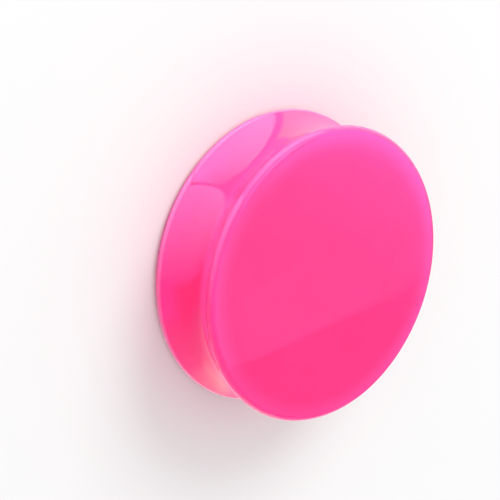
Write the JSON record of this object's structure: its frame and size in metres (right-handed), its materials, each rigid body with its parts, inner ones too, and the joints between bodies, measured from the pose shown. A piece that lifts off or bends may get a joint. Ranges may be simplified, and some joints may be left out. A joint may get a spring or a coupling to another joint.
{
  "type": "double-flared ear plug gauge",
  "caption": "Solid double-flared ear plug: a saddle-shaped waist between two round flares with flat faces, in glossy translucent hot-pink plastic.",
  "frame": {"origin": "centre of the flat back face, on which the plug lies", "axes": "+Z along the plug's axis from its back face to its front face; X and Y lie across it, and the plug is the same all the way round"},
  "size_m": [0.028, 0.028, 0.0083],
  "materials": {
    "pink_acrylic": "high gloss, slightly translucent hot pink, coloured all the way through"
  },
  "bodies": {
    "root": {"plug": "pink_acrylic"}
  },
  "joints": []
}
